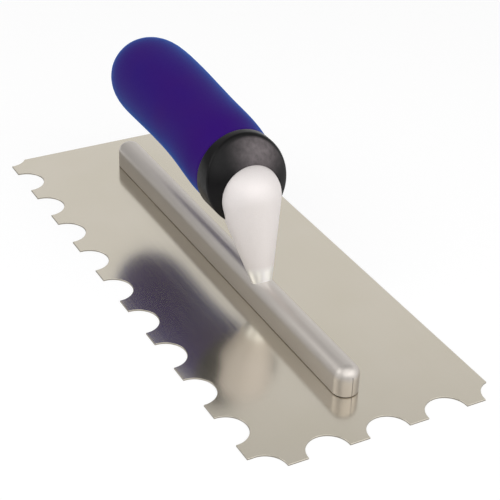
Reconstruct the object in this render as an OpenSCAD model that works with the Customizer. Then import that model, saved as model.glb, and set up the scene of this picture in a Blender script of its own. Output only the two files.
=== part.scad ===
// Notched trowel: a notched steel blade on a cast bar, with a neck that carries a soft-grip handle.
// Millimetres, +Z up. The origin is the centre of the blade's underside, and +X points to the toe.

/* [Blade] */
// Length of the blade, heel to toe
blade_l = 280; // [250:1:320]
// Width of the blade
blade_w = 115; // [100:1:130]
// Thickness of the sheet
blade_t = 0.8; // [0.6:0.1:1.2]

/* [Notches] */
// Diameter of the round punch
notch_d = 19; // [12:0.5:21]
// Distance between neighbouring punch centres
notch_pitch = 28.45; // [26:0.05:34]
// How far the punch centres lie inside the edge
notch_inset = 0.5; // [0:0.1:2]
// First punch centre along the long edge, measured from the heel
notch_long_start = -5; // [-8:0.25:0]
// First punch centre along the toe, measured from the notched long edge
notch_toe_start = 3.25; // [0:0.25:8]

/* [Mounting bar] */
// Length of the bar over its round ends
bar_l = 231; // [212:1:240]
// Place of the bar's middle along the blade
bar_x = -1; // [-3:0.5:3]
// Width of the bar
bar_w = 12; // [12:0.5:20]
// Height of the bar
bar_h = 13.6; // [12:0.1:18]
// Radius of the rounding that makes the top an arch and the ends round
bar_edge_r = 5.5; // [3:0.25:5.5]
// Chamfer along the foot of the bar
bar_foot_c = 0.6; // [0.2:0.1:1]

/* [Blade rivets] */
// Number of rivets in the row
rivet_count = 6; // [4:2:6]
// Distance between neighbouring rivets
rivet_pitch = 40; // [36:1:42]
// Diameter of the shank
rivet_d = 4; // [3:0.1:5]
// Diameter of the countersunk head
rivet_head_d = 7; // [6:0.1:9]
// Height of the countersunk head
rivet_head_h = 1.5; // [1.3:0.1:2]
// Depth of the shank in the bar
rivet_depth = 8; // [5:0.5:9]

/* [Neck] */
// Place of the foot along the bar
foot_x = 34; // [30:0.5:40]
// Radius of the taper where it meets the bar
foot_r = 4.4; // [4.3:0.1:5.5]
// Place of the ball-shaped upper end
ball_x = 20.9; // [20:0.1:24]
// Height of the ball's centre above the bar
ball_rise = 35.6; // [32:0.1:40]
// Radius of the ball
ball_r = 14.6; // [13:0.1:15]
// Length of the oblong tenon in the bar
tenon_l = 8; // [7.6:0.1:8]
// Width of the tenon
tenon_w = 7; // [6.6:0.1:7.2]
// Depth of the tenon in the bar
tenon_h = 5; // [3:0.5:6]
// Diameter of the spigot that enters the handle
spigot_d = 16; // [14:0.1:17]
// Length of the spigot behind the shoulder
spigot_l = 26; // [20:1:32]
// Depth of the flat that keys the spigot
spigot_flat = 2; // [1:0.1:2.5]

/* [Neck screw] */
// Diameter of the screw
screw_d = 5; // [4:0.1:5]
// Length of the screw
screw_l = 22; // [18:1:24]
// Diameter of the countersunk head
screw_head_d = 9.2; // [8:0.1:10]
// Height of the countersunk head
screw_head_h = 2.5; // [2:0.1:3]
// Side of the hexagonal recess across its flats
screw_socket_af = 3; // [2:0.1:3.5]
// Depth of the recess
screw_socket_h = 1.8; // [1:0.1:2]

/* [Collar] */
// Radius of the drum
collar_r = 20.2; // [19:0.1:22]
// Place of the flat rear face
collar_x = 8.3; // [7:0.1:10]
// Thickness of the rear wall, which the neck's shoulder rests on
collar_wall = 4.4; // [2.5:0.1:6]
// Radius of the domed front
dome_r = 39; // [36:0.5:42]
// Place of the dome's crown
dome_x = 25.7; // [25:0.1:27]
// Drop of the dome's axis below the ball's centre
dome_drop = 2.5; // [0:0.1:4]

/* [Grip] */
// Place of the round rear end
grip_tip_x = -103; // [-118:0.5:-102]
// Place of the palm swell, which is also the highest point of the curved axis
palm_x = -74; // [-80:1:-70]
// Height of the axis above the blade at the palm swell
palm_rise = 63.1; // [62:0.1:66]
// Radius of the curve that the axis follows
bow_r = 450; // [420:5:600]
// Radius at the palm swell
palm_r = 20.6; // [20:0.1:23]
// Place of the waist
waist_x = -28; // [-34:1:-24]
// Radius at the waist
waist_r = 19.7; // [19:0.1:21]
// Place of the finger swell
finger_x = -4; // [-8:1:0]
// Radius at the finger swell
finger_r = 20.3; // [19.8:0.1:22]
// Radius at the front edge
rim_r = 19.8; // [19:0.1:21]
// Squareness of the round end, 2 for an ellipse
tip_square = 2.5; // [2:0.1:3]

/* [Handle core] */
// Upward tilt of the straight core towards the rear
core_tilt = 5.5; // [4:0.1:6.5]
// Height of the core's axis above the ball's centre
core_rise = 2.9; // [2:0.1:4]
// Radius of the core
core_r = 12.5; // [11.5:0.1:13]
// Length of the core behind the ball's centre
core_l = 115; // [106:1:118]
// Chamfer around the rear end
core_chamfer = 3; // [1:0.1:3]

/* [Handle bolt] */
// Diameter of the bolt
bolt_d = 8; // [6:0.5:8]
// Length of thread in the spigot
bolt_grip = 18; // [12:1:22]
// Width of the hexagonal head across its flats
bolt_head_af = 13; // [11:0.1:13.5]
// Height of the head
bolt_head_h = 5.3; // [4:0.1:6]
// Diameter of the washer
washer_d = 16; // [15.8:0.1:18]
// Thickness of the washer
washer_t = 1.6; // [1:0.1:2]
// Depth of the recess for washer and head
recess_h = 9; // [8.5:0.1:12]

/* [Hidden] */
$fn = 96;

// Gap on each side of a piece that slides in without force
slide_gap = 0.1;
// Extra length that carries a cut past a face
over = 1;
// Sides of the grip's rings, and steps along each of its stretches
grip_sides = 48;
grip_steps = 9;

notch_r = notch_d / 2;
bar_z = blade_t;
bar_top = bar_z + bar_h;
bar_end_x = (bar_l - bar_w) / 2;
foot_rise = foot_r / 3;
ball_z = bar_top + ball_rise;
shoulder_x = collar_x + collar_wall;
spigot_end = ball_x - shoulder_x + spigot_l;
recess_r = washer_d / 2 + slide_gap;
washer_at = core_l - recess_h;
dome_z = ball_z - dome_drop;
palm_z = blade_t + palm_rise;
collar_z = axis_z(collar_x);

// Height of the grip's curved axis at a place along the handle
function axis_z(x) = palm_z - pow(x - palm_x, 2) / (2 * bow_r);

// Smooth change from one value to another while t runs from 0 to 1
function blend(a, b, t) = a + (b - a) * (1 - cos(180 * t)) / 2;

// Stations [place, radius] along the grip, from its rear end to its front edge
function tip_station(a) =
    let (power = 2 / tip_square)
    [palm_x - (palm_x - grip_tip_x) * pow(cos(a), power), palm_r * pow(sin(a), power)];
function stretch(x0, r0, x1, r1) =
    [for (i = [1 : grip_steps]) let (t = i / grip_steps) [x0 + (x1 - x0) * t, blend(r0, r1, t)]];
grip_stations = concat(
    [for (i = [1 : 2 * grip_steps]) tip_station(90 * i / (2 * grip_steps))],
    stretch(palm_x, palm_r, waist_x, waist_r),
    stretch(waist_x, waist_r, finger_x, finger_r),
    stretch(finger_x, finger_r, collar_x, rim_r));

// Places of the punch centres along an edge that reaches from 0 to length
function punch_places(start, length) =
    [for (p = [start : notch_pitch : length + notch_r]) if (p > -notch_r) p];

// Puts a shape drawn along +Z onto the core's axis, with 0 level with the ball and +Z to the rear
module on_core_axis() {
    translate([ball_x, 0, ball_z + core_rise])
        rotate([0, core_tilt - 90, 0])
            children();
}

// Repeats a shape at every rivet
module at_rivets() {
    for (i = [0 : rivet_count - 1])
        translate([bar_x + (i - (rivet_count - 1) / 2) * rivet_pitch, 0, 0])
            children();
}

// Countersunk fastener standing on its head: a cone that runs into a straight shank
module countersunk(head_d, head_h, shank_d, length) {
    cylinder(d1 = head_d, d2 = shank_d, h = head_h);
    cylinder(d = shank_d, h = length);
}

module rivet() {
    countersunk(rivet_head_d, rivet_head_h, rivet_d, blade_t + rivet_depth);
}

module neck_screw_shape() {
    translate([foot_x, 0, bar_z])
        countersunk(screw_head_d, screw_head_h, screw_d, screw_l);
}

// Half of the bar's cross-section: chamfered foot, straight side and rounded top edge
module bar_half_section() {
    half_w = bar_w / 2;
    flat = half_w - bar_edge_r;
    straight = bar_h - bar_edge_r;
    polygon([[0, 0], [half_w - bar_foot_c, 0], [half_w, bar_foot_c], [half_w, straight],
             [flat, straight], [flat, bar_h], [0, bar_h]]);
    intersection() {
        translate([flat, straight])
            circle(r = bar_edge_r);
        translate([0, straight])
            square([half_w, bar_edge_r]);
    }
}

// Outside of the bar, without its holes
module bar_shape() {
    translate([bar_x, 0, bar_z]) {
        for (side = [0, 1])
            mirror([0, side, 0])
                translate([-bar_end_x, 0, 0])
                    rotate([90, 0, 90])
                        linear_extrude(2 * bar_end_x)
                            bar_half_section();
        for (end = [-1, 1])
            translate([end * bar_end_x, 0, 0])
                rotate_extrude()
                    bar_half_section();
    }
}

// Oblong tenon under the neck's foot, wider and deeper by the given gap for the mortise
module tenon(gap) {
    width = tenon_w + 2 * gap;
    height = tenon_h + gap + foot_rise;
    reach = (tenon_l - tenon_w) / 2;
    translate([foot_x, 0, bar_top - tenon_h - gap]) {
        for (side = [-1, 1])
            translate([side * reach, 0, 0])
                cylinder(d = width, h = height);
        translate([-reach, -width / 2, 0])
            cube([2 * reach, width, height]);
    }
}

// Tapered shank between the ball and the small round foot, as the cone that touches both
module neck_shape() {
    reach = [foot_x - ball_x, bar_top + foot_rise - ball_z];
    run = norm(reach);
    slope = asin((ball_r - foot_r) / run);
    translate([ball_x, 0, ball_z]) {
        sphere(r = ball_r);
        rotate([0, atan2(reach[0], reach[1]), 0]) {
            translate([0, 0, ball_r * sin(slope)])
                cylinder(r1 = ball_r * cos(slope), r2 = foot_r * cos(slope),
                         h = run - (ball_r - foot_r) * sin(slope));
            translate([0, 0, run])
                sphere(r = foot_r);
        }
    }
}

// Keyed spigot along the core's axis, wider by the given gap for its socket
module spigot(gap, length) {
    radius = spigot_d / 2 + gap;
    on_core_axis()
        difference() {
            cylinder(r = radius, h = length);
            translate([radius - spigot_flat, -radius - over, -over])
                cube([2 * radius, 2 * radius + 2 * over, length + 2 * over]);
        }
}

// Everything behind a plane across the handle
module behind(x) {
    far = 2 * (x - grip_tip_x);
    translate([x - far, -far / 2, ball_z - far / 2])
        cube(far);
}

// Part of the neck that stands in front of the handle
module neck_head() {
    difference() {
        neck_shape();
        behind(shoulder_x);
    }
}

module grip_shape() {
    count = len(grip_stations);
    tip = [grip_tip_x, 0, axis_z(grip_tip_x)];
    rings = [for (s = grip_stations, i = [0 : grip_sides - 1])
             let (a = 360 * i / grip_sides)
             [s[0], s[1] * cos(a), axis_z(s[0]) + s[1] * sin(a)]];
    tip_faces = [for (i = [0 : grip_sides - 1]) [0, 1 + i, 1 + (i + 1) % grip_sides]];
    side_faces = [for (k = [0 : count - 2], i = [0 : grip_sides - 1])
                  let (a = 1 + k * grip_sides, b = a + grip_sides, j = (i + 1) % grip_sides)
                  for (face = [[a + i, b + i, b + j], [a + i, b + j, a + j]]) face];
    front_face = [for (i = [0 : grip_sides - 1]) 1 + (count - 1) * grip_sides + (grip_sides - 1 - i)];
    polyhedron(concat([tip], rings), concat(tip_faces, side_faces, [front_face]));
}

// Outside of the core, cut off square at a place along the handle
module core_shape(front_x) {
    intersection() {
        on_core_axis() {
            cylinder(r = core_r, h = core_l - core_chamfer);
            translate([0, 0, core_l - core_chamfer])
                cylinder(r1 = core_r, r2 = core_r - core_chamfer, h = core_chamfer);
        }
        behind(front_x);
    }
}

// Stainless sheet with the punched notches and the countersunk rivet holes
module blade() {
    color("#c8c0b4")
    difference() {
        translate([-blade_l / 2, -blade_w / 2, 0])
            cube([blade_l, blade_w, blade_t]);
        translate([0, 0, -over]) {
            for (p = punch_places(notch_long_start, blade_l))
                translate([p - blade_l / 2, notch_inset - blade_w / 2, 0])
                    cylinder(r = notch_r, h = blade_t + 2 * over);
            for (p = punch_places(notch_toe_start, blade_w))
                translate([blade_l / 2 - notch_inset, p - blade_w / 2, 0])
                    cylinder(r = notch_r, h = blade_t + 2 * over);
        }
        at_rivets()
            rivet();
    }
}

// Countersunk rivets, flush with the blade's underside and driven into the bar
module blade_rivets() {
    color("#b4b2ae")
    at_rivets()
        rivet();
}

// Cast bar with blind rivet holes, and a mortise and a screw hole for the neck
module mounting_bar() {
    color("#9c968e")
    difference() {
        bar_shape();
        at_rivets()
            rivet();
        tenon(slide_gap);
        neck_screw_shape();
    }
}

// Neck with its foot cut to the bar's rounded top, its tenon, its keyed spigot and two tapped holes
module neck() {
    color("#e6e0dc")
    difference() {
        union() {
            difference() {
                neck_head();
                bar_shape();
            }
            tenon(0);
            spigot(0, spigot_end);
        }
        neck_screw_shape();
        on_core_axis()
            translate([0, 0, spigot_end - bolt_grip])
                cylinder(d = bolt_d, h = bolt_grip + over);
    }
}

// Countersunk screw with a hexagonal recess in its head
module neck_screw() {
    color("#8e8e90")
    difference() {
        neck_screw_shape();
        translate([foot_x, 0, bar_z - over])
            cylinder(d = screw_socket_af / cos(30), h = screw_socket_h + over, $fn = 6);
    }
}

// Black nose of the handle: a drum with a domed front that seats the neck
module collar() {
    color("#232124")
    difference() {
        intersection() {
            translate([collar_x, 0, collar_z])
                rotate([0, 90, 0])
                    cylinder(r = collar_r, h = dome_x - collar_x + over);
            translate([dome_x - dome_r, 0, dome_z])
                sphere(r = dome_r);
        }
        neck_head();
        spigot(slide_gap, spigot_end);
    }
}

// Hard core with the keyed socket, the bolt hole and the recess for washer and head
module handle_core() {
    color("#2c2a2e")
    difference() {
        core_shape(collar_x);
        spigot(slide_gap, spigot_end + slide_gap);
        on_core_axis() {
            cylinder(d = bolt_d + 2 * slide_gap, h = core_l + over);
            translate([0, 0, washer_at])
                cylinder(r = recess_r, h = recess_h + over);
        }
    }
}

// Soft sleeve with a closed round end, fitted tightly over the core
module grip() {
    color("#3a2a86")
    difference() {
        grip_shape();
        core_shape(collar_x + over);
    }
}

// Hexagon bolt through the core into the spigot
module handle_bolt() {
    color("#a6a8ac")
    on_core_axis() {
        translate([0, 0, spigot_end - bolt_grip])
            cylinder(d = bolt_d, h = bolt_grip + washer_at + washer_t - spigot_end);
        translate([0, 0, washer_at + washer_t])
            cylinder(d = bolt_head_af / cos(30), h = bolt_head_h, $fn = 6);
    }
}

// Flat washer at the bottom of the recess
module bolt_washer() {
    color("#b0b2b4")
    on_core_axis()
        translate([0, 0, washer_at])
            difference() {
                cylinder(d = washer_d, h = washer_t);
                translate([0, 0, -over])
                    cylinder(d = bolt_d + 2 * slide_gap, h = washer_t + 2 * over);
            }
}

blade();
blade_rivets();
mounting_bar();
neck();
neck_screw();
collar();
handle_core();
grip();
handle_bolt();
bolt_washer();
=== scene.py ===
# Notched trowel, dressed for a studio picture: a notched steel blade on a cast bar, with a cast neck and a
# handle with a soft grip.
# Metres, in the part's own frame: +Z up, +X to the toe, origin at the centre of the blade's underside.

import math

import bmesh
import bpy
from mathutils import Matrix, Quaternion, Vector


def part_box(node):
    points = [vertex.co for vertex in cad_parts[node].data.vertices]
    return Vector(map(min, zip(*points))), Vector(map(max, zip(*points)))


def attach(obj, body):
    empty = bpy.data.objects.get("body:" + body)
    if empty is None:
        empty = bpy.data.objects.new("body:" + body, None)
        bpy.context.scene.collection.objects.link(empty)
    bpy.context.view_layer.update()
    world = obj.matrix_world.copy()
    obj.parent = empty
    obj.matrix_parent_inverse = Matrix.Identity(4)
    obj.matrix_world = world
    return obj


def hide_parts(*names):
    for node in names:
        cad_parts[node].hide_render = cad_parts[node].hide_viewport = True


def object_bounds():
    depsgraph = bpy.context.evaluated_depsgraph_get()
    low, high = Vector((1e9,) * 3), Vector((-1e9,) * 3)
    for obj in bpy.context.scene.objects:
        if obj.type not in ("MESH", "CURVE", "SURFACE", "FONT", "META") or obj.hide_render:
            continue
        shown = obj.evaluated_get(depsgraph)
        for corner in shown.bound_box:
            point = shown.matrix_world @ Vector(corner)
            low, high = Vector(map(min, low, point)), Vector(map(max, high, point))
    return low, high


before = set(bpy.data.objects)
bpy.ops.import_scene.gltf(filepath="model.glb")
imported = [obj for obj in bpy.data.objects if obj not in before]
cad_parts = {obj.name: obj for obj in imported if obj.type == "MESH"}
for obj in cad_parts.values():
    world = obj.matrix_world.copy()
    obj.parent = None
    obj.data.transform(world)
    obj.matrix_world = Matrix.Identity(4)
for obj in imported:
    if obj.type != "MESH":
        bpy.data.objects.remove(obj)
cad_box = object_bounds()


# Blade
# A sheet of cold-rolled stainless steel, ground to a satin along its length. Round notches are punched
# along one long edge and the toe, and countersunk holes take the rivets that hold it under the bar.
mm = 0.001
blade_low, blade_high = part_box("blade")
notch_radius = 9.5 * mm
notch_pitch = 28.45 * mm
notch_inset = 0.5 * mm
long_edge_start = -5 * mm
toe_start = 3.25 * mm
rivet_pitch = 40 * mm
rivet_count = 6
rivet_row_x = -1 * mm
rivet_radius = 2 * mm
rivet_head_radius = 3.5 * mm
rivet_head_height = 1.5 * mm
burr_width = 0.12 * mm
cut_margin = 2 * mm
crease_angle = math.radians(35)


def start(name):
    """Names the primitive that was just added, and moves its place, turn and size into its mesh."""
    piece = bpy.context.object
    piece.name = piece.data.name = name
    bpy.ops.object.transform_apply(location=True, rotation=True, scale=True)
    return piece


def block(name, low, high):
    """Box between two corners."""
    bpy.ops.object.select_all(action="DESELECT")
    bpy.ops.mesh.primitive_cube_add(size=1, location=(Vector(low) + Vector(high)) / 2)
    bpy.context.object.scale = Vector(high) - Vector(low)
    return start(name)


def rod(name, base, top, base_radius, top_radius, sides=96):
    """Cylinder or cone between two points."""
    along = Vector(top) - Vector(base)
    bpy.ops.object.select_all(action="DESELECT")
    bpy.ops.mesh.primitive_cone_add(
        vertices=sides, radius1=base_radius, radius2=top_radius, depth=along.length,
        location=(Vector(base) + Vector(top)) / 2, rotation=along.to_track_quat("Z", "Y").to_euler())
    return start(name)


def shape(piece, kind, **settings):
    """Adds a modifier to a piece, sets it and applies it."""
    modifier = piece.modifiers.new(kind, kind)
    for name, value in settings.items():
        setattr(modifier, name, value)
    bpy.context.view_layer.objects.active = piece
    bpy.ops.object.modifier_apply(modifier=modifier.name)


def combine(piece, tools, operation="DIFFERENCE"):
    """Cuts the tools out of a piece, or joins them to it, and removes the tools."""
    for tool in tools:
        shape(piece, "BOOLEAN", object=tool, operation=operation, solver="EXACT")
        bpy.data.objects.remove(tool)


def smooth(piece, angle=crease_angle):
    """Shades a piece smooth between edges that are sharper than the angle."""
    bpy.ops.object.select_all(action="DESELECT")
    piece.select_set(True)
    bpy.context.view_layer.objects.active = piece
    bpy.ops.object.shade_smooth_by_angle(angle=angle)


blade = block("blade_sheet", blade_low, blade_high)
punch_places = []
along_edge = blade_low.x + long_edge_start
while along_edge < blade_high.x + notch_radius:
    punch_places.append((along_edge, blade_low.y + notch_inset))
    along_edge += notch_pitch
across_toe = blade_low.y + toe_start
while across_toe < blade_high.y + notch_radius:
    punch_places.append((blade_high.x - notch_inset, across_toe))
    across_toe += notch_pitch
punch_low, punch_high = blade_low.z - cut_margin, blade_high.z + cut_margin
combine(blade, [
    rod("punch", (x, y, punch_low), (x, y, punch_high), notch_radius, notch_radius)
    for x, y in punch_places])
shape(blade, "BEVEL", width=burr_width, segments=1, limit_method="ANGLE", angle_limit=crease_angle)
rivet_places = [rivet_row_x + (i - (rivet_count - 1) / 2) * rivet_pitch for i in range(rivet_count)]
combine(blade, [
    rod("countersink", (x, 0, 0), (x, 0, rivet_head_height), rivet_head_radius, rivet_radius)
    for x in rivet_places])
smooth(blade)


def linear(code):
    """Linear colour of an sRGB hex value."""
    channels = [int(code[i:i + 2], 16) / 255 for i in (1, 3, 5)]
    return [c / 12.92 if c <= 0.04045 else ((c + 0.055) / 1.055) ** 2.4 for c in channels] + [1]


def add(owner, kind, inputs, **settings):
    """Adds a node with its settings. Each input takes a value, or another node's output to link to."""
    node = owner.node_tree.nodes.new(kind)
    for name, value in settings.items():
        setattr(node, name, value)
    for socket, value in inputs.items():
        if isinstance(value, bpy.types.NodeSocket):
            owner.node_tree.links.new(value, node.inputs[socket])
        else:
            node.inputs[socket].default_value = value
    return node


def new_material(name):
    """Empty node material, with the output that gives the piece's own coordinates."""
    material = bpy.data.materials.new(name)
    material.use_nodes = True
    material.node_tree.nodes.clear()
    place = add(material, "ShaderNodeTexCoord", {}).outputs["Object"]
    return material, place


# Satin-ground stainless sheet: a blurred mirror under a thin oxide film, with faint lines along the blade and
# a warm tone that drifts a little. Its sheared edges are duller and darker. The real lines are about 0.1 mm
# wide; 0.6 mm lets them show.
grind_width = 0.6 * mm
grind_length = 60 * mm
grind_depth = 0.02 * mm
tone_patch = 45 * mm
film_metallic = 0.9
line_gloss, line_dull = 0.14, 0.18
cut_roughness = 0.45
cut_slope, flat_slope = 0.5, 0.9
# Nearly all values of a noise pattern lie between these two.
noise_low, noise_high = 0.3, 0.7
stainless, place = new_material("ground_stainless_sheet")
grind_place = add(stainless, "ShaderNodeMapping", {
    "Vector": place, "Scale": (1 / grind_length, 1 / grind_width, 1 / grind_width)})
grind = add(stainless, "ShaderNodeTexNoise", {"Vector": grind_place.outputs[0], "Scale": 1, "Detail": 3})
patch = add(stainless, "ShaderNodeTexNoise", {"Vector": place, "Scale": 1 / tone_patch, "Detail": 2})
tone = add(stainless, "ShaderNodeMix", {
    0: patch.outputs["Fac"], 6: linear("#cec7bb"), 7: linear("#c6bfae")}, data_type="RGBA")
facing = add(stainless, "ShaderNodeNewGeometry", {}).outputs["True Normal"]
upright = add(stainless, "ShaderNodeSeparateXYZ", {"Vector": facing}).outputs["Z"]
upright = add(stainless, "ShaderNodeMath", {0: upright}, operation="ABSOLUTE")
sheared = add(stainless, "ShaderNodeMapRange", {
    "Value": upright.outputs[0], "From Min": cut_slope, "From Max": flat_slope,
    "To Min": 1, "To Max": 0})
tone = add(stainless, "ShaderNodeMix", {
    0: sheared.outputs[0], 6: tone.outputs[2], 7: linear("#989288")}, data_type="RGBA")
lines = add(stainless, "ShaderNodeMapRange", {
    "Value": grind.outputs["Fac"], "From Min": noise_low, "From Max": noise_high,
    "To Min": line_gloss, "To Max": line_dull})
lines = add(stainless, "ShaderNodeMix", {0: sheared.outputs[0], 2: lines.outputs[0], 3: cut_roughness})
relief = add(stainless, "ShaderNodeBump", {
    "Height": grind.outputs["Fac"], "Strength": 0.08, "Distance": grind_depth})
steel = add(stainless, "ShaderNodeBsdfPrincipled", {
    "Base Color": tone.outputs[2], "Metallic": film_metallic, "Roughness": lines.outputs[0],
    "Normal": relief.outputs[0]})
add(stainless, "ShaderNodeOutputMaterial", {"Surface": steel.outputs[0]})
blade.data.materials.append(stainless)
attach(blade, "root")
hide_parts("blade")


# Blade rivets
# Six countersunk stainless rivets, driven through the blade into blind holes of the bar and ground flush
# underneath. Grinding leaves their heads with coarser, greyer lines than the sheet.
rivet_grit = 0.4 * mm
grit_length = 4 * mm
grit_depth = 0.03 * mm
head_gloss, head_dull = 0.25, 0.4
rivet_steel, place = new_material("ground_rivet_steel")
grit_place = add(rivet_steel, "ShaderNodeMapping", {
    "Vector": place, "Scale": (1 / grit_length, 1 / rivet_grit, 1 / rivet_grit)})
grit = add(rivet_steel, "ShaderNodeTexNoise", {"Vector": grit_place.outputs[0], "Scale": 1, "Detail": 4})
tone = add(rivet_steel, "ShaderNodeMix", {
    0: grit.outputs["Fac"], 6: linear("#bcb9b4"), 7: linear("#a5a19b")}, data_type="RGBA")
lines = add(rivet_steel, "ShaderNodeMapRange", {
    "Value": grit.outputs["Fac"], "From Min": noise_low, "From Max": noise_high,
    "To Min": head_gloss, "To Max": head_dull})
relief = add(rivet_steel, "ShaderNodeBump", {
    "Height": grit.outputs["Fac"], "Strength": 0.2, "Distance": grit_depth})
steel = add(rivet_steel, "ShaderNodeBsdfPrincipled", {
    "Base Color": tone.outputs[2], "Metallic": 1, "Roughness": lines.outputs[0], "Normal": relief.outputs[0]})
add(rivet_steel, "ShaderNodeOutputMaterial", {"Surface": steel.outputs[0]})
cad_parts["blade_rivets"].material_slots[0].material = rivet_steel


# Mounting bar
# A die-cast aluminium bar with an arched top and blunt round ends, tumbled to a dull satin. The rivets hold it
# along the blade, and a faint parting line runs down its nose where the halves of the die met.
bar_low, bar_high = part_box("mounting_bar")
bar_half_width = (bar_high.y - bar_low.y) / 2
arch_radius = 5.5 * mm
bar_foot_chamfer = 0.6 * mm
rivet_depth = 8 * mm
end_segments = 24
arch_segments = 14
arch_crease = math.radians(50)
tiny = 0.001 * mm


def pick(piece, kind, rule):
    """Opens a piece for editing, with only those edges or faces selected whose corners meet a rule."""
    bpy.ops.object.select_all(action="DESELECT")
    piece.select_set(True)
    bpy.context.view_layer.objects.active = piece
    bpy.ops.object.mode_set(mode="EDIT")
    bpy.ops.mesh.select_mode(type=kind)
    bpy.ops.mesh.select_all(action="DESELECT")
    mesh = bmesh.from_edit_mesh(piece.data)
    for part in {"EDGE": mesh.edges, "FACE": mesh.faces}[kind]:
        part.select_set(rule([v.co for v in part.verts]))
    bmesh.update_edit_mesh(piece.data)


def close():
    """Leaves edit mode with doubles merged and all faces pointing outwards."""
    bpy.ops.mesh.select_all(action="SELECT")
    bpy.ops.mesh.remove_doubles(threshold=tiny)
    bpy.ops.mesh.normals_make_consistent(inside=False)
    bpy.ops.object.mode_set(mode="OBJECT")


bar = block("bar_casting", bar_low, bar_high)
pick(bar, "EDGE", lambda ends: abs(ends[0].z - ends[1].z) > arch_radius)
bpy.ops.mesh.bevel(offset=bar_half_width, segments=end_segments, affect="EDGES", clamp_overlap=True)
close()
pick(bar, "EDGE", lambda ends: min(p.z for p in ends) > bar_high.z - tiny)
bpy.ops.mesh.bevel(offset=arch_radius, segments=arch_segments, affect="EDGES", clamp_overlap=True)
close()
pick(bar, "EDGE", lambda ends: max(p.z for p in ends) < bar_low.z + tiny)
bpy.ops.mesh.bevel(offset=bar_foot_chamfer, segments=1, affect="EDGES", clamp_overlap=True)
close()
combine(bar, [
    rod("rivet_hole", (x, 0, 0), (x, 0, bar_low.z + rivet_depth), rivet_radius, rivet_radius)
    for x in rivet_places])
smooth(bar, arch_crease)
shape(bar, "WEIGHTED_NORMAL", keep_sharp=True)

# Tumbled die-cast aluminium: dull grey under a thin oxide skin, with a fine pebbled grain. Long soft waves
# from the die bend its reflections a little, and the parting line is a darker trace.
cast_grain = 0.7 * mm
cast_depth = 0.04 * mm
die_wave = 14 * mm
wave_length = 56 * mm
wave_depth = 0.4 * mm
parting_width = 0.3 * mm
cast_metallic = 0.9
cast_gloss, cast_dull = 0.4, 0.48
casting, place = new_material("tumbled_die_cast_aluminium")
grain = add(casting, "ShaderNodeTexNoise", {"Vector": place, "Scale": 1 / cast_grain, "Detail": 3})
wave_place = add(casting, "ShaderNodeMapping", {
    "Vector": place, "Scale": (1 / wave_length, 1 / die_wave, 1 / die_wave)})
wave = add(casting, "ShaderNodeTexNoise", {"Vector": wave_place.outputs[0], "Scale": 1, "Detail": 1})
tone = add(casting, "ShaderNodeMix", {
    0: wave.outputs["Fac"], 6: linear("#cec8c1"), 7: linear("#c2bcb7")}, data_type="RGBA")
spot = add(casting, "ShaderNodeSeparateXYZ", {"Vector": place})
off_middle = add(casting, "ShaderNodeMath", {0: spot.outputs["Y"]}, operation="ABSOLUTE")
line = add(casting, "ShaderNodeMapRange", {
    "Value": off_middle.outputs[0], "From Min": parting_width / 2, "From Max": parting_width,
    "To Min": 1, "To Max": 0})
at_nose = add(casting, "ShaderNodeMath", {
    0: spot.outputs["X"], 1: bar_high.x - parting_width}, operation="GREATER_THAN")
parting = add(casting, "ShaderNodeMath", {0: line.outputs[0], 1: at_nose.outputs[0]}, operation="MULTIPLY")
tone = add(casting, "ShaderNodeMix", {
    0: parting.outputs[0], 6: tone.outputs[2], 7: linear("#8a8480")}, data_type="RGBA")
dull = add(casting, "ShaderNodeMapRange", {
    "Value": grain.outputs["Fac"], "From Min": noise_low, "From Max": noise_high,
    "To Min": cast_gloss, "To Max": cast_dull})
swell = add(casting, "ShaderNodeBump", {
    "Height": wave.outputs["Fac"], "Strength": 0.5, "Distance": wave_depth})
relief = add(casting, "ShaderNodeBump", {
    "Height": grain.outputs["Fac"], "Strength": 0.15, "Distance": cast_depth, "Normal": swell.outputs[0]})
metal = add(casting, "ShaderNodeBsdfPrincipled", {
    "Base Color": tone.outputs[2], "Metallic": cast_metallic, "Roughness": dull.outputs[0],
    "Normal": relief.outputs[0]})
add(casting, "ShaderNodeOutputMaterial", {"Surface": metal.outputs[0]})
bar.data.materials.append(casting)
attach(bar, "root")
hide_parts("mounting_bar")


# Neck
# A tapered aluminium shank with a ball-shaped upper end that seats in the handle. A low bead rings its foot
# above the bar, where a tenon and a screw from below hold it, and a spigot runs back into the handle.
foot_x = 34 * mm
foot_rise = 1.47 * mm
foot_radius = 3.8 * mm
ball_x = 20.9 * mm
ball_rise = 35.6 * mm
ball_radius = 14.6 * mm
shoulder_x = 12.7 * mm
bead_height = 4 * mm
bead_reach = 1 * mm
stub_step = 0.9 * mm
neck_waist = 0.6 * mm
root_depth = 5 * mm
spigot_radius = 8 * mm
spigot_length = 34 * mm
core_rise = 2.9 * mm
core_tilt = math.radians(5.5)
trim_size = 100 * mm
neck_sides = 96
cone_rings = 8
bead_rings = 16
neck_crease = math.radians(15)
foot = Vector((foot_x, 0, bar_high.z + foot_rise))
ball = Vector((ball_x, 0, bar_high.z + ball_rise))
neck_axis = (foot - ball).normalized()
neck_slope = math.asin((ball_radius - foot_radius) / (foot - ball).length)
core_start = ball + Vector((0, 0, core_rise))
core_axis = Vector((-math.cos(core_tilt), 0, math.sin(core_tilt)))


def next_ring(shift, grow, centre):
    """Extrudes the selected ring by a shift, and grows it about its new centre."""
    bpy.ops.mesh.extrude_region_move(TRANSFORM_OT_translate={"value": shift})
    bpy.ops.transform.resize(value=(grow, grow, grow), center_override=centre)


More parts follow.
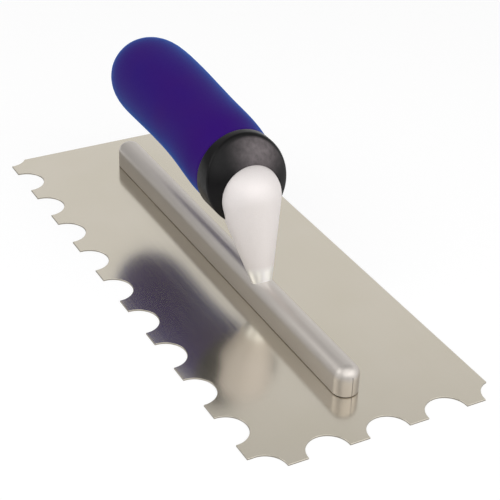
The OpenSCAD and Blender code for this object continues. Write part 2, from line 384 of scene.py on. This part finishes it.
bpy.ops.object.select_all(action="DESELECT")
bpy.ops.mesh.primitive_uv_sphere_add(
    segments=neck_sides, ring_count=neck_sides // 2, radius=ball_radius, location=ball,
    rotation=neck_axis.to_track_quat("Z", "Y").to_euler())
neck = start("neck_casting")
ring_centre = ball + neck_axis * ball_radius * math.sin(neck_slope)
ring_radius = ball_radius * math.cos(neck_slope)
pick(neck, "FACE", lambda corners: True)
bpy.ops.mesh.bisect(plane_co=ring_centre, plane_no=neck_axis, clear_outer=True)
run = (foot - ball).length - ball_radius * math.sin(neck_slope)
cone_end = foot_radius * math.cos(neck_slope)
bead_end = run + (foot.z - bar_high.z) / -neck_axis.z
bead_start = bead_end - bead_height
depths = [bead_start * (i + 1) / cone_rings for i in range(cone_rings)]
depths += [bead_start + bead_height * (i + 1) / bead_rings for i in range(bead_rings)] + [run + root_depth]
radius = ring_radius
for depth in depths:
    share = min(1, max(0, depth - bead_start) / bead_height)
    bulge = stub_step * share + bead_reach * math.sin(math.pi * share) ** 2
    bulge -= neck_waist * math.sin(math.pi * min(1, depth / bead_start))
    new_radius = max(ring_radius + (cone_end - ring_radius) * depth / run, cone_end) + bulge
    new_centre = ball + neck_axis * (ball_radius * math.sin(neck_slope) + depth)
    next_ring(new_centre - ring_centre, new_radius / radius, new_centre)
    radius, ring_centre = new_radius, new_centre
bpy.ops.mesh.edge_face_add()
close()
bar_shape = bar.copy()
bar_shape.data = bar.data.copy()
bpy.context.collection.objects.link(bar_shape)
behind = block("behind", (-trim_size, -trim_size / 2, 0), (shoulder_x, trim_size / 2, trim_size))
combine(neck, [bar_shape, behind])
spigot_end = core_start + core_axis * spigot_length
combine(neck, [rod("spigot", core_start, spigot_end, spigot_radius, spigot_radius)], "UNION")
smooth(neck, neck_crease)

# Bead-blasted cast aluminium under a thin pale oxide skin: it spreads light almost as paint does, with a fine
# even grain. The bead at the foot is rubbed smoother and more metallic, and its whiter colour is a painted
# highlight. The real grain is about 0.2 mm wide; 0.5 mm lets it show.
blast_grain = 0.5 * mm
blast_depth = 0.03 * mm
grain_roughness = 0.08
skin_metallic, rubbed_metallic = 0.4, 0.8
skin_roughness, rubbed_roughness = 0.6, 0.34
blasted, place = new_material("bead_blasted_aluminium")
grain = add(blasted, "ShaderNodeTexNoise", {"Vector": place, "Scale": 1 / blast_grain, "Detail": 3})
tone = add(blasted, "ShaderNodeMix", {
    0: grain.outputs["Fac"], 6: linear("#f4eeec"), 7: linear("#ece6e4")}, data_type="RGBA")
bead_place = (ball + neck_axis * (ball_radius * math.sin(neck_slope) + bead_start)).dot(neck_axis)
along = add(blasted, "ShaderNodeVectorMath", {0: place, 1: neck_axis}, operation="DOT_PRODUCT")
# Mask of the foot bead: it is rubbed smoother and more metallic there, and whitened as a painted highlight.
rub_and_highlight = add(blasted, "ShaderNodeMapRange", {
    "Value": along.outputs["Value"], "From Min": bead_place - bead_height / 2,
    "From Max": bead_place + bead_height / 2}, interpolation_type="SMOOTHSTEP")
# Painted highlight: the bead's colour is whitened towards white.
tone = add(blasted, "ShaderNodeMix", {
    0: rub_and_highlight.outputs[0], 6: tone.outputs[2], 7: linear("#fcfcfc")}, data_type="RGBA")
shine = add(blasted, "ShaderNodeMapRange", {
    "Value": rub_and_highlight.outputs[0], "To Min": skin_metallic, "To Max": rubbed_metallic})
matt = add(blasted, "ShaderNodeMapRange", {
    "Value": rub_and_highlight.outputs[0], "To Min": skin_roughness, "To Max": rubbed_roughness})
matt = add(blasted, "ShaderNodeMath", {
    0: grain.outputs["Fac"], 1: grain_roughness, 2: matt.outputs[0]}, operation="MULTIPLY_ADD")
relief = add(blasted, "ShaderNodeBump", {
    "Height": grain.outputs["Fac"], "Strength": 0.1, "Distance": blast_depth})
metal = add(blasted, "ShaderNodeBsdfPrincipled", {
    "Base Color": tone.outputs[2], "Metallic": shine.outputs[0], "Roughness": matt.outputs[0],
    "Normal": relief.outputs[0]})
add(blasted, "ShaderNodeOutputMaterial", {"Surface": metal.outputs[0]})
neck.data.materials.append(blasted)
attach(neck, "root")
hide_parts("neck")


# Neck screw, handle bolt and washer
# Zinc-plated steel fasteners: the screw holds the neck's tenon from under the bar, and the bolt with its
# washer pulls the handle's core onto the spigot.
spangle = 1.2 * mm
zinc_gloss, zinc_dull = 0.25, 0.4
zinc, place = new_material("zinc_plated_steel")
crystal = add(zinc, "ShaderNodeTexVoronoi", {"Vector": place, "Scale": 1 / spangle})
tone = add(zinc, "ShaderNodeMix", {
    0: crystal.outputs["Distance"], 6: linear("#b9bcc2"), 7: linear("#9fa2a6")}, data_type="RGBA")
bright = add(zinc, "ShaderNodeMapRange", {
    "Value": crystal.outputs["Distance"], "To Min": zinc_gloss, "To Max": zinc_dull})
metal = add(zinc, "ShaderNodeBsdfPrincipled", {
    "Base Color": tone.outputs[2], "Metallic": 1, "Roughness": bright.outputs[0]})
add(zinc, "ShaderNodeOutputMaterial", {"Surface": metal.outputs[0]})
for fastener in ("neck_screw", "handle_bolt", "bolt_washer"):
    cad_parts[fastener].material_slots[0].material = zinc


# Collar
# A moulded black polypropylene nose: a drum behind a domed front that seats the neck's ball. It is pushed
# against the grip by the bolt, and a hairline gap shows round the neck.
collar_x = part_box("collar")[0].x
collar_radius = 20.2 * mm
palm_x = -74 * mm
palm_rise = 63.1 * mm
bow_radius = 450 * mm
dome_radius = 39 * mm
dome_crown_x = 25.7 * mm
dome_drop = 2.5 * mm
dome_rings = 12
dome_sides = 256
collar_edge = 0.9 * mm
edge_segments = 5
seat_gap = 0.12 * mm
z_to_x = (0, math.radians(90), 0)


def axis_height(x):
    """Height of the handle's curved axis at a place along it."""
    return blade_high.z + palm_rise - (x - palm_x) ** 2 / (2 * bow_radius)


collar_z = axis_height(collar_x)
dome_centre = Vector((dome_crown_x - dome_radius, 0, ball.z - dome_drop))
drum_back, drum_front = (collar_x, 0, collar_z), (dome_crown_x, 0, collar_z)
collar = rod("collar_moulding", drum_back, drum_front, collar_radius, collar_radius)
pick(collar, "FACE", lambda corners: min(p.x for p in corners) > dome_crown_x - tiny)
for ring in range(dome_rings):
    bpy.ops.mesh.inset(thickness=collar_radius / (dome_rings + 1))
bpy.ops.object.mode_set(mode="OBJECT")
front = collar.vertex_groups.new(name="front")
front.add([v.index for v in collar.data.vertices if v.co.x > dome_crown_x - tiny], 1, "REPLACE")
bpy.ops.object.select_all(action="DESELECT")
bpy.ops.mesh.primitive_uv_sphere_add(
    segments=dome_sides, ring_count=dome_sides // 2, radius=dome_radius, location=dome_centre,
    rotation=z_to_x)
dome = start("dome")
shape(collar, "SHRINKWRAP", target=dome, wrap_method="PROJECT", vertex_group="front",
      use_project_x=True, use_project_y=False, use_project_z=False,
      use_negative_direction=True, use_positive_direction=True)
bpy.data.objects.remove(dome)
shape(collar, "BEVEL", width=collar_edge, segments=edge_segments, limit_method="ANGLE",
      angle_limit=crease_angle)
seat = neck.copy()
seat.data = neck.data.copy()
bpy.context.collection.objects.link(seat)
shape(seat, "DISPLACE", strength=seat_gap, mid_level=0)
combine(collar, [seat])
smooth(collar)

# Moulded black polypropylene: semi-gloss, with the faint orange-peel of a worn mould. A mottled grey patch on
# the dome's upper right is partly scuffing and partly a painted highlight of the right lamp.
peel = 1.6 * mm
peel_depth = 0.05 * mm
peel_gloss, peel_dull = 0.3, 0.4
scuff = 2.5 * mm
thin_scuff = 0.6
highlight_place = Vector((18.5, 6, 69.5)) * mm
highlight_reach = 18 * mm
black_plastic, place = new_material("moulded_black_polypropylene")
skin = add(black_plastic, "ShaderNodeTexNoise", {"Vector": place, "Scale": 1 / peel, "Detail": 2})
tone = add(black_plastic, "ShaderNodeMix", {
    0: skin.outputs["Fac"], 6: linear("#080708"), 7: linear("#040304")}, data_type="RGBA")
# Painted highlight: a grey patch centred on the dome's upper right that fades out over its reach, speckled as
# scuffs.
highlight_distance = add(black_plastic, "ShaderNodeVectorMath", {0: place, 1: highlight_place}, operation="DISTANCE")
rub_and_highlight = add(black_plastic, "ShaderNodeMapRange", {
    "Value": highlight_distance.outputs["Value"], "From Min": 0, "From Max": highlight_reach, "To Min": 1, "To Max": 0},
    interpolation_type="SMOOTHSTEP")
speck = add(black_plastic, "ShaderNodeTexNoise", {"Vector": place, "Scale": 1 / scuff, "Detail": 4})
speck = add(black_plastic, "ShaderNodeMapRange", {
    "Value": speck.outputs["Fac"], "From Min": noise_low, "From Max": noise_high,
    "To Min": thin_scuff, "To Max": 1})
across = add(black_plastic, "ShaderNodeVectorMath", {
    0: place, 1: (0, 1, 1), 2: (0, 0, -collar_z)}, operation="MULTIPLY_ADD")
across = add(black_plastic, "ShaderNodeVectorMath", {0: across.outputs[0]}, operation="LENGTH")
on_dome = add(black_plastic, "ShaderNodeMapRange", {
    "Value": across.outputs["Value"], "From Min": collar_radius - 2 * collar_edge,
    "From Max": collar_radius - collar_edge, "To Min": 1, "To Max": 0})
highlight_and_scuff = add(black_plastic, "ShaderNodeMath", {
    0: rub_and_highlight.outputs[0], 1: speck.outputs[0]}, operation="MULTIPLY")
highlight_and_scuff = add(black_plastic, "ShaderNodeMath", {
    0: highlight_and_scuff.outputs[0], 1: on_dome.outputs[0]}, operation="MULTIPLY")
# The painted highlight and its scuffs turn the black to a mottled grey on the dome, but not on its edge.
tone = add(black_plastic, "ShaderNodeMix", {
    0: highlight_and_scuff.outputs[0], 6: tone.outputs[2], 7: linear("#7c7476")}, data_type="RGBA")
gloss = add(black_plastic, "ShaderNodeMapRange", {
    "Value": skin.outputs["Fac"], "From Min": noise_low, "From Max": noise_high,
    "To Min": peel_gloss, "To Max": peel_dull})
relief = add(black_plastic, "ShaderNodeBump", {
    "Height": skin.outputs["Fac"], "Strength": 0.12, "Distance": peel_depth})
plastic = add(black_plastic, "ShaderNodeBsdfPrincipled", {
    "Base Color": tone.outputs[2], "Roughness": gloss.outputs[0], "IOR": 1.49, "Specular IOR Level": 0.18,
    "Normal": relief.outputs[0]})
add(black_plastic, "ShaderNodeOutputMaterial", {"Surface": plastic.outputs[0]})
collar.data.materials.append(black_plastic)
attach(collar, "root")
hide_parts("collar")


# Handle core
# A hard moulded core inside the grip, keyed to the neck's spigot. It never shows, and has the dull black of
# an unpolished mould.
core_finish, place = new_material("moulded_black_core")
skin = add(core_finish, "ShaderNodeTexNoise", {"Vector": place, "Scale": 1 / peel, "Detail": 2})
tone = add(core_finish, "ShaderNodeMix", {
    0: skin.outputs["Fac"], 6: linear("#2b292d"), 7: linear("#222024")}, data_type="RGBA")
plastic = add(core_finish, "ShaderNodeBsdfPrincipled", {
    "Base Color": tone.outputs[2], "Roughness": 0.5, "IOR": 1.49})
add(core_finish, "ShaderNodeOutputMaterial", {"Surface": plastic.outputs[0]})
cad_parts["handle_core"].material_slots[0].material = core_finish


# Grip
# A soft sleeve of blue thermoplastic rubber, moulded with a closed round end and stretched over the core.
# It swells at the palm and the fingers, and its front edge is rounded where it meets the collar.
grip_tip_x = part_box("grip")[0].x
palm_radius = 20.6 * mm
waist = (-28 * mm, 19.7 * mm)
finger = (-4 * mm, 20.3 * mm)
rim_radius = 19.8 * mm
rim_round = 0.5 * mm
rim_arc = [math.radians(angle) for angle in (0, 30, 60, 90)]
tip_square = 2.5
grip_sides = 64
stretch_steps = 8
tip_steps = 14
core_radius = 12.5 * mm
core_length = 115 * mm


def stretch(from_station, to_station):
    """Stations [place, radius] that swell smoothly from one to another."""
    shares = [(i + 1) / stretch_steps for i in range(stretch_steps)]
    return [[a + (b - a) * mix for (a, b), mix in zip(
        zip(from_station, to_station), (t, (1 - math.cos(math.pi * t)) / 2))] for t in shares]


rim_stations = [
    [collar_x - rim_round * (1 - math.cos(a)), rim_radius - rim_round * (1 - math.sin(a))]
    for a in rim_arc]
tip_length = palm_x - grip_tip_x
tip_power = 2 / tip_square
tip_stations = [
    [palm_x - tip_length * math.cos(a) ** tip_power, palm_radius * math.sin(a) ** tip_power]
    for a in (math.pi / 2 * (1 - (i + 1) / tip_steps) for i in range(tip_steps - 1))]
stations = rim_stations + stretch(rim_stations[-1], finger) + stretch(finger, waist)
stations += stretch(waist, (palm_x, palm_radius)) + tip_stations
bpy.ops.object.select_all(action="DESELECT")
bpy.ops.mesh.primitive_circle_add(
    vertices=grip_sides, radius=stations[0][1], fill_type="NGON",
    location=(stations[0][0], 0, axis_height(stations[0][0])), rotation=z_to_x)
grip = start("grip_sleeve")
pick(grip, "FACE", lambda corners: True)
for (x, radius), (new_x, new_radius) in zip(stations, stations[1:]):
    centre = Vector((new_x, 0, axis_height(new_x)))
    next_ring(centre - Vector((x, 0, axis_height(x))), new_radius / radius, centre)
bpy.ops.mesh.extrude_region_move(TRANSFORM_OT_translate={
    "value": Vector((grip_tip_x, 0, axis_height(grip_tip_x))) - centre})
bpy.ops.mesh.merge(type="CENTER")
close()
core_reach = core_axis * core_length
combine(grip, [rod("core_hole", core_start - core_reach, core_start + core_reach, core_radius, core_radius)])
smooth(grip)

# Soft-touch blue rubber: matt, with a fine pebble, a violet depth and a bluish bloom at grazing angles.
pebble = 0.6 * mm
pebble_depth = 0.05 * mm
pebble_gloss, pebble_dull = 0.62, 0.74
bloom_patch = 30 * mm
rubber, place = new_material("soft_touch_blue_rubber")
pebbles = add(rubber, "ShaderNodeTexNoise", {"Vector": place, "Scale": 1 / pebble, "Detail": 3})
bloom = add(rubber, "ShaderNodeTexNoise", {"Vector": place, "Scale": 1 / bloom_patch, "Detail": 2})
tone = add(rubber, "ShaderNodeMix", {
    0: bloom.outputs["Fac"], 6: linear("#3c066c"), 7: linear("#2c0876")}, data_type="RGBA")
matt = add(rubber, "ShaderNodeMapRange", {
    "Value": pebbles.outputs["Fac"], "From Min": noise_low, "From Max": noise_high,
    "To Min": pebble_gloss, "To Max": pebble_dull})
relief = add(rubber, "ShaderNodeBump", {
    "Height": pebbles.outputs["Fac"], "Strength": 0.25, "Distance": pebble_depth})
skin = add(rubber, "ShaderNodeBsdfPrincipled", {
    "Base Color": tone.outputs[2], "Roughness": matt.outputs[0], "IOR": 1.45, "Normal": relief.outputs[0],
    "Specular IOR Level": 0.12, "Sheen Weight": 0.65, "Sheen Roughness": 0.36,
    "Sheen Tint": linear("#2a9cff")})
add(rubber, "ShaderNodeOutputMaterial", {"Surface": skin.outputs[0]})
grip.data.materials.append(rubber)
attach(grip, "root")
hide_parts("grip")


# Studio
# A white sweep under and behind the trowel in a white room, with one large softbox near the camera and two
# small ones at the sides. The paper is white for the camera and in reflections, and still shows the shadow.
floor_size = 8
floor_gap = 0.05 * mm
shadow_reach = 0.4
white_reach = 1.2
near_white = 0.8
bpy.ops.object.select_all(action="DESELECT")
bpy.ops.mesh.primitive_plane_add(size=floor_size, location=(0, 0, -floor_gap))
floor = start("floor")
paper, place = new_material("white_studio_paper")
ray = add(paper, "ShaderNodeLightPath", {})
seen = add(paper, "ShaderNodeMath", {
    0: ray.outputs["Is Camera Ray"], 1: ray.outputs["Is Glossy Ray"]}, operation="MAXIMUM")
seen = add(paper, "ShaderNodeMath", {
    0: seen.outputs[0], 1: ray.outputs["Is Transmission Ray"]}, operation="MAXIMUM")
matt_paper = add(paper, "ShaderNodeBsdfDiffuse", {"Color": linear("#e8e8e8")})
shadow_paper = add(paper, "ShaderNodeBsdfDiffuse", {"Color": linear("#8c8c8c")})
far = add(paper, "ShaderNodeVectorMath", {0: place}, operation="LENGTH")
white_level = add(paper, "ShaderNodeMapRange", {
    "Value": far.outputs["Value"], "From Min": shadow_reach, "From Max": white_reach,
    "To Min": near_white, "To Max": 1}, interpolation_type="SMOOTHSTEP")
glow = add(paper, "ShaderNodeEmission", {"Color": linear("#ffffff"), "Strength": white_level.outputs[0]})
white = add(paper, "ShaderNodeAddShader", {0: shadow_paper.outputs[0], 1: glow.outputs[0]})
sheet = add(paper, "ShaderNodeMixShader", {0: seen.outputs[0], 1: matt_paper.outputs[0], 2: white.outputs[0]})
add(paper, "ShaderNodeOutputMaterial", {"Surface": sheet.outputs[0]})
floor.data.materials.append(paper)

# In reflections the white sweep ends in a dim ceiling, and the room is dark low down on the camera's side and
# dim beyond the heel. Heights are sines of the elevation, and sides are cosines of the angle off a direction.
room_light = 0.34
sweep_top, ceiling_start = 0.52, 0.8
ceiling_level = 0.45
dark_edge, dark_full = 0.55, 0.85
dark_top, dark_fade = 0.28, 0.46
dark_level = 0.12
dim_edge, dim_full = 0.6, 1
dim_level = 0.3
camera_place = Vector((493.8, -264.27, 353.43)) * mm
camera_side = Vector((camera_place.x, camera_place.y, 0)).normalized()
dim_side = Vector((-0.82, -0.57, 0))
world = bpy.data.worlds.new("white_room")
bpy.context.scene.world = world
world.use_nodes = True
world.node_tree.nodes.clear()
ray = add(world, "ShaderNodeLightPath", {})
toward = add(world, "ShaderNodeTexCoord", {}).outputs["Generated"]
height = add(world, "ShaderNodeSeparateXYZ", {"Vector": toward}).outputs["Z"]
sweep = add(world, "ShaderNodeMapRange", {
    "Value": height, "From Min": sweep_top, "From Max": ceiling_start,
    "To Min": 1, "To Max": ceiling_level}, interpolation_type="SMOOTHSTEP")
facing = add(world, "ShaderNodeVectorMath", {0: toward, 1: camera_side}, operation="DOT_PRODUCT")
front = add(world, "ShaderNodeMapRange", {
    "Value": facing.outputs["Value"], "From Min": dark_edge, "From Max": dark_full},
    interpolation_type="SMOOTHSTEP")
low = add(world, "ShaderNodeMapRange", {
    "Value": height, "From Min": dark_top, "From Max": dark_fade, "To Min": 1, "To Max": 0},
    interpolation_type="SMOOTHSTEP")
dark = add(world, "ShaderNodeMath", {0: front.outputs[0], 1: low.outputs[0]}, operation="MULTIPLY")
mirrored = add(world, "ShaderNodeMix", {0: dark.outputs[0], 2: sweep.outputs[0], 3: dark_level})
aside = add(world, "ShaderNodeVectorMath", {0: toward, 1: dim_side}, operation="DOT_PRODUCT")
aside = add(world, "ShaderNodeMapRange", {
    "Value": aside.outputs["Value"], "From Min": dim_edge, "From Max": dim_full},
    interpolation_type="SMOOTHSTEP")
mirrored = add(world, "ShaderNodeMix", {0: aside.outputs[0], 2: mirrored.outputs[0], 3: dim_level})
level = add(world, "ShaderNodeMix", {0: ray.outputs["Is Glossy Ray"], 2: room_light, 3: mirrored.outputs[0]})
seen = add(world, "ShaderNodeMath", {
    0: ray.outputs["Is Camera Ray"], 1: ray.outputs["Is Transmission Ray"]}, operation="MAXIMUM")
level = add(world, "ShaderNodeMix", {0: seen.outputs[0], 2: level.outputs[0], 3: 1})
room = add(world, "ShaderNodeBackground", {"Color": linear("#ffffff"), "Strength": level.outputs[0]})
add(world, "ShaderNodeOutputWorld", {"Surface": room.outputs[0]})


def softbox(name, azimuth, elevation, distance, size, power):
    """Square area lamp that looks at the trowel's middle, placed by its direction from there."""
    aim = (cad_box[0] + cad_box[1]) / 2
    turn, lift = math.radians(azimuth), math.radians(elevation)
    offset = Vector((math.cos(turn) * math.cos(lift), math.sin(turn) * math.cos(lift), math.sin(lift)))
    bpy.ops.object.light_add(type="AREA", location=aim + offset * distance)
    lamp = bpy.context.object
    lamp.name = name
    lamp.rotation_euler = (-offset).to_track_quat("-Z", "Y").to_euler()
    lamp.data.size = size
    lamp.data.energy = power


softbox("front_softbox", azimuth=-8, elevation=46, distance=1.2, size=1.6, power=9.5)
softbox("right_softbox", azimuth=40, elevation=28, distance=0.9, size=0.5, power=0.8)
softbox("left_softbox", azimuth=-108, elevation=38, distance=0.9, size=0.6, power=1.6)

view_roll = math.radians(2.17)
camera_aim = Vector((3.55, 11.29, 8)) * mm
bpy.ops.object.camera_add(location=camera_place)
camera = bpy.context.object
camera.rotation_euler = (
    (camera_aim - camera_place).to_track_quat("-Z", "Y") @ Quaternion((0, 0, 1), view_roll)).to_euler()
camera.data.sensor_width = 36
camera.data.lens = 99.955
bpy.context.scene.camera = camera
bpy.context.scene.view_settings.view_transform = "Standard"
